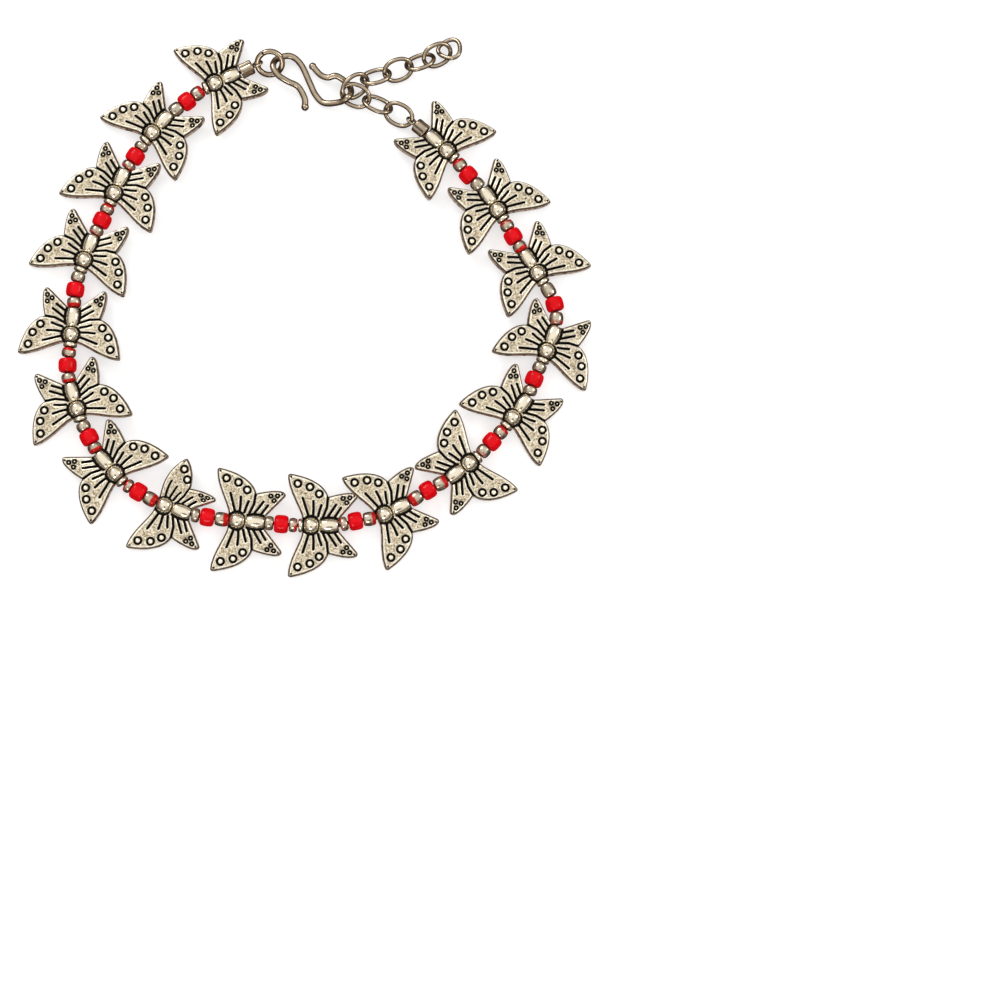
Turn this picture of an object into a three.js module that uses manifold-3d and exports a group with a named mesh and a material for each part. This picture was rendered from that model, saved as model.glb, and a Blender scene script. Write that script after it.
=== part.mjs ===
// A butterfly charm anklet, lying on a table as a loop. Millimetres, +Z up.
import * as THREE from 'three';
import { mergeVertices } from 'three/addons/utils/BufferGeometryUtils.js';
import Module from 'manifold-3d';

const wasm = await Module();
wasm.setup();

// Clearance between neighbouring pieces on the thread, and between linked wires.
const GAP = 0.12;
const LINK_GAP = 0.15;

// Thread, and the hole that each piece on it is drilled with.
const THREAD_DIA = 0.7;
const BORE_DIA = 1.3;

// Glass beads and the metal spacers on each side of them.
const RED_BEAD_DIA = 3.3;
const RED_BEAD_LENGTH = 2.55;
const SPACER_DIA = 2.6;
// The bead's end faces as a share of its diameter, and the share of its length that has the full diameter.
const RED_BEAD_SHOULDER = 0.72;
const RED_BEAD_BAND = 0.5;
// The spacer's end faces as a share of its diameter.
const SPACER_END = 0.62;

// Butterfly charm: body from the collar to the tail, wings from tip to tip.
const THORAX_DIA = 3.5;
const HEAD_REACH = 2.5;
const TAIL_REACH = 4.7;
const WING_SPAN = 18.4;
const WING_LENGTH = 12.3;
const WING_THICKNESS = 1.9;

// End caps with their loops, and how far each mouth stands off its charm's tail.
const CAP_GAP = 0.35;
const CAP_DIA = 2.8;
const CAP_LENGTH = 2.5;
const CAP_WALL_END = 0.8;
// The cap's mouth and loop end as shares of its diameter, and each bevel as a share of its length.
const CAP_MOUTH = 0.93;
const CAP_LOOP_END = 0.8;
const CAP_BEVEL = 0.12;
const LOOP_HOLE = 1.35;
const LOOP_WIRE = 0.45;

// Clasp and chain wires.
const RING_INNER_DIA = 3.55;
const RING_WIRE = 1.05;
const HOOK_WIRE = 1.15;
const HOOK_BALL = 1.4;
const LINK_LENGTH = 6.1;
const LINK_WIDTH = 4.9;
const LINK_WIRE = 0.8;
const END_RING_DIA = 4.9;
// How far the end ring's soft corners are drawn out, as a share of its radius.
const END_RING_CORNERS = 0.07;

// Sides of the round pieces, and steps along the bent wires.
const BEAD_SIDES = 10;
const THREAD_SIDES = 6;
const WIRE_SIDES = 6;
const BALL_SIDES = 8;
const BALL_RINGS = 6;
const LOOP_STEPS = 12;
const LINK_STEPS = 14;
const RING_STEPS = 18;
const HOOK_STEPS = 38;

// Finishes.
const charmSilver = { color: 0xcfc6b0, roughness: 0.38, metalness: 0.9 };
const redGlass = { color: 0xd3101f, roughness: 0.15, metalness: 0 };
const spacerMetal = { color: 0x9a8f80, roughness: 0.28, metalness: 0.9 };
const claspMetal = { color: 0xa99680, roughness: 0.3, metalness: 0.95 };

// The string's route: where each charm's thorax lies, the direction in degrees that its tail points,
// whether its tail comes first along the string, how far the beads after it bow out sideways, and whether
// its wings inside the loop are bent. The route is fitted between the caps.
const STRING_ROUTE = [
  { x: -16.7, y: 41.3, tail: 26, tailFirst: true, bow: 0, bent: false },
  { x: -28.1, y: 31.9, tail: 49, tailFirst: true, bow: 0.1, bent: false },
  { x: -34.9, y: 20.5, tail: 66, tailFirst: true, bow: 0.1, bent: false },
  { x: -40.2, y: 8.0, tail: 70, tailFirst: true, bow: -0.3, bent: false },
  { x: -42.4, y: -5.8, tail: 85, tailFirst: true, bow: -0.4, bent: false },
  { x: -41.2, y: -19.5, tail: 107, tailFirst: true, bow: 0, bent: false },
  { x: -34.3, y: -31.3, tail: 131, tailFirst: true, bow: 0.1, bent: false },
  { x: -25.1, y: -37.3, tail: -19, tailFirst: false, bow: 0, bent: true },
  { x: -12.1, y: -40.0, tail: -4, tailFirst: false, bow: 0, bent: false },
  { x: 1.2, y: -40.8, tail: 0, tailFirst: false, bow: 0.3, bent: false },
  { x: 14.4, y: -38.7, tail: 26, tailFirst: false, bow: 0.2, bent: false },
  { x: 29.4, y: -29.5, tail: -142, tailFirst: true, bow: 0, bent: false },
  { x: 37.6, y: -20.8, tail: 53, tailFirst: false, bow: 0.2, bent: false },
  { x: 43.9, y: -8.4, tail: 68, tailFirst: false, bow: -0.8, bent: false },
  { x: 42.2, y: 6.1, tail: 123, tailFirst: false, bow: 0.1, bent: false },
  { x: 34.9, y: 17.9, tail: 124, tailFirst: false, bow: 0.2, bent: false },
  { x: 25.6, y: 29.0, tail: 137, tailFirst: false, bow: 0, bent: false },
];

// The hook's wire, bent by hand: points along it.
const HOOK_ROUTE = [
  [-0.3, 37.3, 0.75],
  [-0.4, 39.0, 0.8],
  [-1.6, 41.0, 1.3],
  [-3.5, 41.8, 2.0],
  [-5.2, 42.8, 2.4],
  [-6.2, 44.5, 2.2],
  [-5.5, 46.2, 1.4],
  [-3.1, 46.9, 1.1],
  [-1.1, 45.4, 0.9],
  [0.6, 41.8, 0.7],
  [1.6, 39.7, 0.65],
  [3.2, 38.1, 0.8],
  [6.0, 37.95, 1.9],
  [7.6, 38.6, 2.9],
  [8.2, 40.1, 1.65],
  [7.5, 41.75, 1.15],
  [5.5, 43.0, 1.7],
  [3.9, 42.8, 1.3],
  [2.5, 43.4, 1.1],
  [1.1, 45.0, 1.0],
];

// The ring on the hook's left bend, and the two links on its right bend: the middle of each,
// its heading, and how it leans about that heading.
const JUMP_RING_PLACE = { x: -6.8, y: 45.2, z: 2.1, heading: 5, lean: 40 };
const HOOKED_LINK = { x: 9.03, y: 39.34, z: 1.61, heading: 158, lean: -35 };
const TURNED_LINK = { x: 8.92, y: 40.95, z: 2.25, heading: 37, lean: 45 };

// The other links, walked outwards from those two. slack: how far a link slides into the one before.
const CAP_SIDE_LINKS = [
  { heading: 156, lean: 40, z: 1.72, slack: 0 },
  { heading: 153, lean: -40, z: 1.72, slack: 0 },
];
const FREE_SIDE_LINKS = [
  { heading: 17, lean: -40, z: 1.9, slack: 0 },
  { heading: 20, lean: 40, z: 1.75, slack: 0 },
  { heading: 22, lean: -40, z: 1.75, slack: 0 },
  { heading: 26, lean: 40, z: 1.75, slack: 0.9 },
];
const END_RING = { heading: 32, lean: -22, z: 1.6, slack: 1.1 };

// How the loop of the cap beside the chain leans about the cap's axis.
const CHAIN_LOOP_LEAN = 50;

// Charm body: shares of its length from collar to tail, and of the thorax's diameter.
const BODY_SECTIONS = [
  { along: 0, width: 0.56 },
  { along: 0.1, width: 0.62 },
  { along: 0.15, width: 0.5 },
  { along: 0.22, width: 0.9 },
  { along: 0.35, width: 1.0 },
  { along: 0.48, width: 0.88 },
  { along: 0.545, width: 0.5 },
  { along: 0.62, width: 0.68 },
  { along: 0.78, width: 0.78 },
  { along: 1, width: 0.54 },
];

// One side's wings as Bezier pieces from the collar round to the tail.
// x in shares of the wings' length from the thorax, y in shares of half the span.
const WING_START = { x: -0.13, y: 0.14 };
const WING_CURVES = [
  { x1: -0.155, y1: 0.345, x2: -0.35, y2: 0.7, x: -0.34, y: 1.0 },
  { x1: -0.1, y1: 0.957, x2: 0.18, y2: 0.817, x: 0.228, y: 0.538 },
  { x1: 0.374, y1: 0.602, x2: 0.642, y2: 0.677, x: 0.659, y: 0.559 },
  { x1: 0.56, y1: 0.4, x2: 0.47, y2: 0.27, x: 0.37, y: 0.11 },
];
const WING_CURVE_STEPS = 3;

// Bent wings: how much narrower the forewing's tip is and how far it leans back, as shares of the wing's
// place and of half the span; how much nearer the body the hindwing's tip comes, as a share of its distance;
// and the shares of the wings' length between which the forewing gives way to the hindwing.
const BENT_NARROWING = 0.45;
const BENT_LEAN = 0.34;
const BENT_LOWERING = 0.27;
const FORE_TO_HIND = [0.23, 0.57];

const radians = THREE.MathUtils.degToRad;
const flat = (degrees) => new THREE.Vector3(Math.cos(radians(degrees)), Math.sin(radians(degrees)), 0);

// Height of the thread above the table where a charm lies on its thorax.
const AXIS_HEIGHT = THORAX_DIA / 2;
// How far a charm rolls so that its outer wing tips come down to the table.
const CHARM_ROLL = Math.asin((AXIS_HEIGHT - WING_THICKNESS / 2) / (WING_SPAN / 2));

// A closed manifold solid from a three.js geometry.
function toSolid(geometry) {
  const bare = new THREE.BufferGeometry();
  bare.setAttribute('position', geometry.getAttribute('position'));
  bare.setIndex(geometry.index);
  const merged = mergeVertices(bare, 1e-4);
  const position = merged.getAttribute('position');
  const corner = (i) => new THREE.Vector3().fromBufferAttribute(position, i);
  const triangles = [];
  let volume = 0;
  for (let i = 0; i < merged.index.count; i += 3) {
    const [a, b, c] = [0, 1, 2].map((k) => merged.index.getX(i + k));
    if (a === b || b === c || c === a) continue;
    triangles.push([a, b, c]);
    volume += corner(a).dot(corner(b).cross(corner(c)));
  }
  const outward = volume > 0 ? triangles : triangles.map(([a, b, c]) => [a, c, b]);
  return new wasm.Manifold(new wasm.Mesh({
    numProp: 3,
    vertProperties: Float32Array.from(position.array),
    triVerts: Uint32Array.from(outward.flat()),
  }));
}

function toGeometry(solid) {
  const mesh = solid.getMesh();
  const geometry = new THREE.BufferGeometry();
  geometry.setAttribute('position', new THREE.BufferAttribute(Float32Array.from(mesh.vertProperties), 3));
  geometry.setIndex([...mesh.triVerts]);
  geometry.computeVertexNormals();
  return geometry;
}

// A solid of revolution about X, from [along, radius] points.
function turned(points, sides) {
  const profile = points.map(([along, radius]) => new THREE.Vector2(radius, along));
  profile.push(profile[0].clone());
  return toSolid(new THREE.LatheGeometry(profile, sides).rotateZ(-Math.PI / 2));
}

// A rod along X that drills or fills a bore.
function rod(diameter, start, end, sides) {
  const radius = diameter / 2;
  return turned([[start, 0], [start, radius], [end, radius], [end, 0]], sides);
}

function roundSection(diameter, sides) {
  const corners = [];
  for (let i = 0; i < sides; i += 1) {
    const turn = (2 * Math.PI * i) / sides;
    corners.push(new THREE.Vector2(Math.cos(turn), Math.sin(turn)).multiplyScalar(diameter / 2));
  }
  return new THREE.Shape(corners);
}

function swept(path, diameter, steps, sides) {
  const options = { steps, extrudePath: path, bevelEnabled: false };
  return toSolid(new THREE.ExtrudeGeometry(roundSection(diameter, sides), options));
}

// A path that bends only at its own points.
class StraightRuns extends THREE.Curve {
  constructor(points) {
    super();
    this.points = points;
  }

  getPoint(share, target = new THREE.Vector3()) {
    const place = Math.min(Math.max(share, 0), 1) * (this.points.length - 1);
    const first = Math.min(Math.floor(place), this.points.length - 2);
    return target.lerpVectors(this.points[first], this.points[first + 1], place - first);
  }

  getPointAt(share, target) {
    return this.getPoint(share, target);
  }

  getTangentAt(share, target) {
    return this.getTangent(share, target);
  }
}

// Places a solid that is modelled along X: its own X goes to along, its Z as near up as lean allows.
function placed(solid, middle, along, lean = 0) {
  const forward = along.clone().normalize();
  const side = new THREE.Vector3(0, 0, 1).cross(forward).normalize();
  const upright = forward.clone().cross(side);
  const matrix = new THREE.Matrix4().makeBasis(forward, side, upright);
  matrix.multiply(new THREE.Matrix4().makeRotationX(lean));
  matrix.setPosition(middle);
  return solid.transform(matrix.elements);
}

// A bent wing's forewing is drawn in and leans back, and its hindwing comes nearer the body.
function bendPoint({ x, y }) {
  const out = 2 * y / WING_SPAN;
  const along = x / WING_LENGTH;
  const fore = 1 - THREE.MathUtils.smoothstep(along, ...FORE_TO_HIND);
  const narrowed = x * (1 - BENT_NARROWING * out * fore);
  const lowering = BENT_LOWERING * (along - WING_CURVES[0].x);
  return new THREE.Vector2(narrowed + BENT_LEAN * y * out * fore, y * (1 - lowering));
}

// One side's wing outline.
function wingOutline(isBent) {
  const lengthwise = (share) => share * WING_LENGTH;
  const across = (share) => share * WING_SPAN / 2;
  const outline = new THREE.Shape();
  outline.moveTo(lengthwise(WING_START.x), across(WING_START.y));
  for (const { x1, y1, x2, y2, x, y } of WING_CURVES) {
    outline.bezierCurveTo(lengthwise(x1), across(y1), lengthwise(x2), across(y2), lengthwise(x), across(y));
  }
  const points = outline.getPoints(WING_CURVE_STEPS);
  return isBent ? points.map(bendPoint) : points;
}

function wingPlate(innerSide, bent) {
  const minusSide = wingOutline(bent && innerSide < 0).map(({ x, y }) => new THREE.Vector2(x, -y)).reverse();
  const shape = new THREE.Shape([...wingOutline(bent && innerSide > 0), ...minusSide]);
  const plate = new THREE.ExtrudeGeometry(shape, { depth: WING_THICKNESS, bevelEnabled: false });
  return toSolid(plate.translate(0, 0, -WING_THICKNESS / 2));
}

function charm(innerSide, bent) {
  const length = HEAD_REACH + TAIL_REACH;
  const profile = [[-HEAD_REACH, 0]];
  for (const { along, width } of BODY_SECTIONS) {
    profile.push([along * length - HEAD_REACH, width * THORAX_DIA / 2]);
  }
  profile.push([TAIL_REACH, 0]);
  const bore = rod(BORE_DIA, -length, length, THREAD_SIDES);
  return turned(profile, BEAD_SIDES).add(wingPlate(innerSide, bent)).subtract(bore);
}

function redBead() {
  const half = RED_BEAD_LENGTH / 2;
  const band = RED_BEAD_BAND * half;
  const rim = RED_BEAD_DIA / 2;
  const shoulder = RED_BEAD_SHOULDER * rim;
  const hole = BORE_DIA / 2;
  const profile = [
    [-half, hole], [-half, shoulder], [-band, rim],
    [band, rim], [half, shoulder], [half, hole],
  ];
  return turned(profile, BEAD_SIDES);
}

// A spacer fills the place between two pieces' end faces, clear of both where they stand at an angle to it.
function spacer(from, to, before, after) {
  const along = to.clone().sub(from).normalize();
  const endRadius = SPACER_END * SPACER_DIA / 2;
  const clearOf = (facing) => GAP + endRadius * facing.clone().cross(along).length();
  const start = clearOf(before);
  const end = clearOf(after);
  const half = (from.distanceTo(to) - start - end) / 2;
  const profile = [[-half, 0], [-half, endRadius], [0, SPACER_DIA / 2], [half, endRadius], [half, 0]];
  const middle = from.clone().addScaledVector(along, start + half);
  return placed(turned(profile, BEAD_SIDES), middle, along);
}

// A ring of wire in the XY plane, its middle at the origin, stretched along X into an oval.
function wireOval(length, width, wire, steps) {
  const bend = (width - wire) / 2;
  const stretch = (length - width) / 2;
  const ring = new THREE.TorusGeometry(bend, wire / 2, WIRE_SIDES, steps).rotateZ(Math.PI / steps);
  const position = ring.getAttribute('position');
  for (let i = 0; i < position.count; i += 1) {
    position.setX(i, position.getX(i) + Math.sign(position.getX(i)) * stretch);
  }
  return toSolid(ring);
}

// The chain's last link: round, drawn out to three soft corners.
function triangularRing(diameter, wire, steps) {
  const ring = new THREE.TorusGeometry((diameter - wire) / 2, wire / 2, WIRE_SIDES, steps);
  const position = ring.getAttribute('position');
  for (let i = 0; i < position.count; i += 1) {
    const place = new THREE.Vector3().fromBufferAttribute(position, i);
    const turn = Math.atan2(place.y, place.x);
    const drawn = 1 + END_RING_CORNERS * Math.cos(3 * (turn - Math.PI / 6));
    position.setXY(i, place.x * drawn, place.y * drawn);
  }
  return toSolid(ring);
}

// A cap modelled from its mouth at the origin to its loop, along X.
const LOOP_RADIUS = (LOOP_HOLE + LOOP_WIRE) / 2;
const CAP_REACH = CAP_LENGTH + LOOP_RADIUS;

function endCap(loopLean) {
  const rim = CAP_DIA / 2;
  const hole = BORE_DIA / 2;
  const bottom = CAP_LENGTH - CAP_WALL_END;
  const bevel = CAP_BEVEL * CAP_LENGTH;
  const barrel = turned([[bottom, 0], [bottom, hole], [0, hole], [0, CAP_MOUTH * rim], [bevel, rim],
    [CAP_LENGTH - bevel, rim], [CAP_LENGTH, CAP_LOOP_END * rim], [CAP_LENGTH, 0]], BEAD_SIDES);
  const loopDia = LOOP_HOLE + 2 * LOOP_WIRE;
  const loop = wireOval(loopDia, loopDia, LOOP_WIRE, LOOP_STEPS);
  return barrel.add(placed(loop, new THREE.Vector3(CAP_REACH, 0, 0), flat(0), radians(loopLean)));
}

const group = new THREE.Group();

function addPiece(name, solid, finish) {
  const mesh = new THREE.Mesh(toGeometry(solid), new THREE.MeshStandardMaterial(finish));
  mesh.name = name;
  group.add(mesh);
}

const numbered = (name, index, digits) => `${name}_${String(index + 1).padStart(digits, '0')}`;

// The clasp's jump ring and the loop of the cap that holds it.
const ringMeanRadius = (RING_INNER_DIA + RING_WIRE) / 2;
const ringOuterDia = RING_INNER_DIA + 2 * RING_WIRE;
const ringMiddle = new THREE.Vector3(JUMP_RING_PLACE.x, JUMP_RING_PLACE.y, JUMP_RING_PLACE.z);
const ringHeading = flat(JUMP_RING_PLACE.heading);
const leftLoop = ringMiddle.clone().addScaledVector(ringHeading, -ringMeanRadius);

// The chain, walked from the two links on the hook. Each link's middle is found from the joint before it.
const linkReach = (length) => (length - LINK_WIRE) / 2 - (LINK_WIRE + LINK_GAP) / 2;

function walkLinks(start, rows, direction) {
  let joint = start;
  return rows.map(({ heading, lean, z, slack, length = LINK_LENGTH }) => {
    const along = flat(heading).multiplyScalar(direction);
    const reach = linkReach(length);
    const middle = joint.clone().addScaledVector(along, reach - slack).setZ(z);
    joint = middle.clone().addScaledVector(along, reach);
    return { middle, heading, lean, joint };
  });
}

const linkFrom = ({ x, y, z, heading, lean }) => ({ middle: new THREE.Vector3(x, y, z), heading, lean });
const hookedLink = linkFrom(HOOKED_LINK);
const turnedLink = linkFrom(TURNED_LINK);
const linkEnd = ({ middle, heading }, reach) => middle.clone().addScaledVector(flat(heading), reach);
const hookedJoint = linkEnd(hookedLink, -linkReach(LINK_LENGTH));
const turnedJoint = linkEnd(turnedLink, linkReach(LINK_LENGTH));
const capSide = walkLinks(hookedJoint, CAP_SIDE_LINKS, -1);
const freeSide = walkLinks(turnedJoint, [...FREE_SIDE_LINKS, { ...END_RING, length: END_RING_DIA }], 1);
const endRing = freeSide.pop();
const chainLinks = [...capSide.toReversed(), hookedLink, turnedLink, ...freeSide];
const lastCapLink = capSide.at(-1);
const loopSeat = (LINK_WIRE + LINK_GAP) / 2;
const rightLoop = lastCapLink.joint.clone().addScaledVector(flat(lastCapLink.heading), -loopSeat);

// A cap's mouth clears its charm's tail and the rear corner of the wings.
const SEAT_REACH = Math.max(TAIL_REACH, WING_CURVES.at(-1).x * WING_LENGTH) + CAP_GAP;
const routedThorax = ({ x, y }) => new THREE.Vector3(x, y, AXIS_HEIGHT);

// A cap points from its charm to its loop. shift: how far the charm moves from the route to seat there.
function capPlace(loopMiddle, row) {
  const seat = routedThorax(row).addScaledVector(flat(row.tail), SEAT_REACH);
  const along = loopMiddle.clone().sub(seat).normalize();
  const mouth = loopMiddle.clone().addScaledVector(along, -CAP_REACH);
  const shift = mouth.clone().sub(seat).setZ(0);
  return { along, mouth, shift };
}

const leftCap = capPlace(leftLoop, STRING_ROUTE[0]);
const rightCap = capPlace(rightLoop, STRING_ROUTE.at(-1));

// Where each charm lies, with the ends of its body in the string's order.
// The two caps' shifts are shared out along the string.
const charms = STRING_ROUTE.map((row, index) => {
  const share = index / (STRING_ROUTE.length - 1);
  const thorax = routedThorax(row).add(leftCap.shift.clone().lerp(rightCap.shift, share));
  const tailward = flat(row.tail);
  const tailEnd = thorax.clone().addScaledVector(tailward, TAIL_REACH);
  const headEnd = thorax.clone().addScaledVector(tailward, -HEAD_REACH);
  const [entry, exit] = row.tailFirst ? [tailEnd, headEnd] : [headEnd, tailEnd];
  const innerSide = row.tailFirst ? -1 : 1;
  return { thorax, tailward, innerSide, entry, exit, bow: row.bow, bent: row.bent };
});

// Charms roll outwards, so that the wings outside the loop reach the table.
charms.forEach(({ thorax, tailward, innerSide, bent }, index) => {
  const solid = placed(charm(innerSide, bent), thorax, tailward, innerSide * CHARM_ROLL);
  addPiece(numbered('butterfly', index, 2), solid, charmSilver);
});

addPiece('end_cap_left', placed(endCap(JUMP_RING_PLACE.lean - 90), leftCap.mouth, leftCap.along), claspMetal);
addPiece('end_cap_right', placed(endCap(CHAIN_LOOP_LEAN), rightCap.mouth, rightCap.along), claspMetal);

// Runs between charms: a red bead in the middle, a spacer on each side of it, and the thread through all.
const redBeadSolid = redBead();
const threadEnd = CAP_LENGTH - CAP_WALL_END - 2 * GAP;
const threadPath = [leftCap.mouth.clone().addScaledVector(leftCap.along, threadEnd), leftCap.mouth];
const spacers = [];

function addRun(index, charmBefore, charmAfter) {
  const [from, to] = [charmBefore.exit, charmAfter.entry];
  const along = to.clone().sub(from).normalize();
  const sideways = new THREE.Vector3(-along.y, along.x, 0);
  const middle = from.clone().lerp(to, 0.5).addScaledVector(sideways, charmBefore.bow);
  const beadEnds = [-1, 1].map((side) => middle.clone().addScaledVector(along, side * RED_BEAD_LENGTH / 2));
  addPiece(numbered('red_bead', index, 2), placed(redBeadSolid, middle, along), redGlass);
  spacers.push(spacer(from, beadEnds[0], charmBefore.tailward, along));
  spacers.push(spacer(beadEnds[1], to, along, charmAfter.tailward));
  threadPath.push(from, ...beadEnds, to);
}

threadPath.push(charms[0].entry);
charms.slice(1).forEach((next, index) => addRun(index, charms[index], next));
threadPath.push(charms.at(-1).exit, rightCap.mouth);
threadPath.push(rightCap.mouth.clone().addScaledVector(rightCap.along, threadEnd));
const thread = swept(new StraightRuns(threadPath), THREAD_DIA, threadPath.length - 1, THREAD_SIDES);
addPiece('string', wasm.Manifold.union([thread, ...spacers]), spacerMetal);

const jumpRing = wireOval(ringOuterDia, ringOuterDia, RING_WIRE, RING_STEPS);
const ringLean = radians(JUMP_RING_PLACE.lean);
addPiece('jump_ring', placed(jumpRing, ringMiddle, ringHeading, ringLean), claspMetal);

function hookSolid() {
  const bends = HOOK_ROUTE.map((point) => new THREE.Vector3(...point));
  const route = new THREE.CatmullRomCurve3(bends, false, 'catmullrom');
  const wire = swept(route, HOOK_WIRE, HOOK_STEPS, WIRE_SIDES);
  const balls = [route.points[0], route.points.at(-1)].map(({ x, y, z }) => {
    const ball = new THREE.SphereGeometry(HOOK_BALL / 2, BALL_SIDES, BALL_RINGS);
    return toSolid(ball).translate(x, y, z);
  });
  return wire.add(balls[0]).add(balls[1]);
}

addPiece('s_hook', hookSolid(), claspMetal);

const linkSolid = wireOval(LINK_LENGTH, LINK_WIDTH, LINK_WIRE, LINK_STEPS);
chainLinks.forEach(({ middle, heading, lean }, index) => {
  const solid = placed(linkSolid, middle, flat(heading), radians(lean));
  addPiece(numbered('chain_link', index, 1), solid, claspMetal);
});
const endRingSolid = triangularRing(END_RING_DIA, LINK_WIRE, RING_STEPS);
const endRingLean = radians(endRing.lean);
addPiece('end_ring', placed(endRingSolid, endRing.middle, flat(endRing.heading), endRingLean), claspMetal);

// The origin is the middle of the underside of the whole anklet's box.
const box = new THREE.Box3().setFromObject(group);
const middle = box.getCenter(new THREE.Vector3());
group.position.set(-middle.x, -middle.y, -box.min.z);

export default group;
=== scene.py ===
"""A butterfly charm anklet lying as a loop, dressed around its CAD frame.

Pieces are modelled in millimetres, in the frame of the part, and become metres when their meshes are made.
"""

import math

import bpy
import numpy as np
from mathutils import Matrix, Vector, geometry, noise


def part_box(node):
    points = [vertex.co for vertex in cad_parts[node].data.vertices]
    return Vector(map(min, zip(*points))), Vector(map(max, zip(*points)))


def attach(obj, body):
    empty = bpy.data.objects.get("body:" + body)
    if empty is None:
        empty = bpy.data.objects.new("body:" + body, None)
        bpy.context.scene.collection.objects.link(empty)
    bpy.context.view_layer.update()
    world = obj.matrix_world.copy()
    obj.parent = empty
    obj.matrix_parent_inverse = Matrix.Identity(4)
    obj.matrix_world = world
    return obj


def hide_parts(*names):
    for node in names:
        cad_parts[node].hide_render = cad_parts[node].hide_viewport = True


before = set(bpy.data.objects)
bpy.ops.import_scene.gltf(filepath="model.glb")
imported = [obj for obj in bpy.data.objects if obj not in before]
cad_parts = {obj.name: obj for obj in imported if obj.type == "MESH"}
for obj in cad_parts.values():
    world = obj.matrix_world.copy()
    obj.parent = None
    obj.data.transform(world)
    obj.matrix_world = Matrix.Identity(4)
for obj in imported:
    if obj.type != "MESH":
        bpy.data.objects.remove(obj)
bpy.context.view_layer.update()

MM = 0.001

# The camera: its place and target in millimetres, its roll in degrees, and its lens and sensor width.
CAMERA_PLACE = (4.0, -115.1, 520.0)
CAMERA_TARGET = (35.1, -36.2, 0.0)
CAMERA_ROLL = 0.4
CAMERA_LENS = 104.4
CAMERA_SENSOR = 36

# Thread, beads and spacers. SPACER_END is the flat end's share of a spacer's radius, and GAP is what a
# spacer leaves to its neighbours.
THREAD_DIA = 0.7
RED_BEAD_DIA = 3.3
RED_BEAD_LENGTH = 2.55
BEAD_HOLE_DIA = 1.1
BEAD_LIP = 0.12
SPACER_DIA = 2.6
SPACER_END = 0.62
GAP = 0.12

# Charm: body from the collar to the tail, wings from tip to tip. CLOSED_END is the radius of the tiny rings
# that close a turned solid.
HEAD_REACH = 2.5
NECK_REACH = 1.55
TAIL_REACH = 4.7
WING_SPAN = 18.4
WING_LENGTH = 12.3
WING_THICKNESS = 1.9
THORAX_DIA = 3.5
THORAX_MIDDLE = -0.22
THORAX_HALF_LENGTH = 1.45
THORAX_HALF_WIDTH = 1.6
THORAX_FULLNESS = 0.72
ABDOMEN_MIDDLE = 3.08
ABDOMEN_HALF_LENGTH = 1.62
ABDOMEN_HALF_WIDTH = 1.33
ABDOMEN_TAPER = 0.27
COLLAR_SEAT = 1.05
COLLAR_SIDES = 32
BODY_SIDES = 48
CLOSED_END = 0.02

# Each charm: the direction in degrees that its tail points, whether its tail comes first along the string,
# how far the beads after it bow out sideways, whether its inner wings are bent, and whether its collar shows
# or a spacer covers it.
CHARM_ROWS = [
    {"tail": 26, "tail_first": True, "bow": 0.0, "bent": False, "collar": True},
    {"tail": 49, "tail_first": True, "bow": 0.1, "bent": False, "collar": True},
    {"tail": 66, "tail_first": True, "bow": 0.1, "bent": False, "collar": True},
    {"tail": 70, "tail_first": True, "bow": -0.3, "bent": False, "collar": True},
    {"tail": 85, "tail_first": True, "bow": -0.4, "bent": False, "collar": True},
    {"tail": 107, "tail_first": True, "bow": 0.0, "bent": False, "collar": True},
    {"tail": 131, "tail_first": True, "bow": 0.1, "bent": False, "collar": True},
    {"tail": -19, "tail_first": False, "bow": 0.0, "bent": True, "collar": False},
    {"tail": -4, "tail_first": False, "bow": 0.0, "bent": False, "collar": False},
    {"tail": 0, "tail_first": False, "bow": 0.3, "bent": False, "collar": True},
    {"tail": 26, "tail_first": False, "bow": 0.2, "bent": False, "collar": False},
    {"tail": -142, "tail_first": True, "bow": 0.0, "bent": False, "collar": True},
    {"tail": 53, "tail_first": False, "bow": 0.2, "bent": False, "collar": True},
    {"tail": 68, "tail_first": False, "bow": -0.8, "bent": False, "collar": True},
    {"tail": 123, "tail_first": False, "bow": 0.1, "bent": False, "collar": True},
    {"tail": 124, "tail_first": False, "bow": 0.2, "bent": False, "collar": True},
    {"tail": 137, "tail_first": False, "bow": 0.0, "bent": False, "collar": True},
]

# The outline of one side's wings as Bezier pieces, in shares of the wings' length and of half the span.
WING_START = (-0.13, 0.14)
WING_CURVES = [
    ((-0.155, 0.345), (-0.35, 0.7), (-0.34, 1.0)),
    ((-0.1, 0.957), (0.18, 0.817), (0.228, 0.538)),
    ((0.374, 0.602), (0.642, 0.677), (0.659, 0.559)),
    ((0.56, 0.4), (0.47, 0.27), (0.37, 0.11)),
]

# Bent wings: how much narrower the forewing's tip is, how far it leans back and how much nearer the body the
# hindwing's tip comes, as shares of their own distances; and the shares of the wings' length between which
# the forewing gives way to the hindwing.
BENT_NARROWING = 0.45
BENT_LEAN = 0.34
BENT_LOWERING = 0.27
FORE_TO_HIND = (0.23, 0.57)

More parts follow.
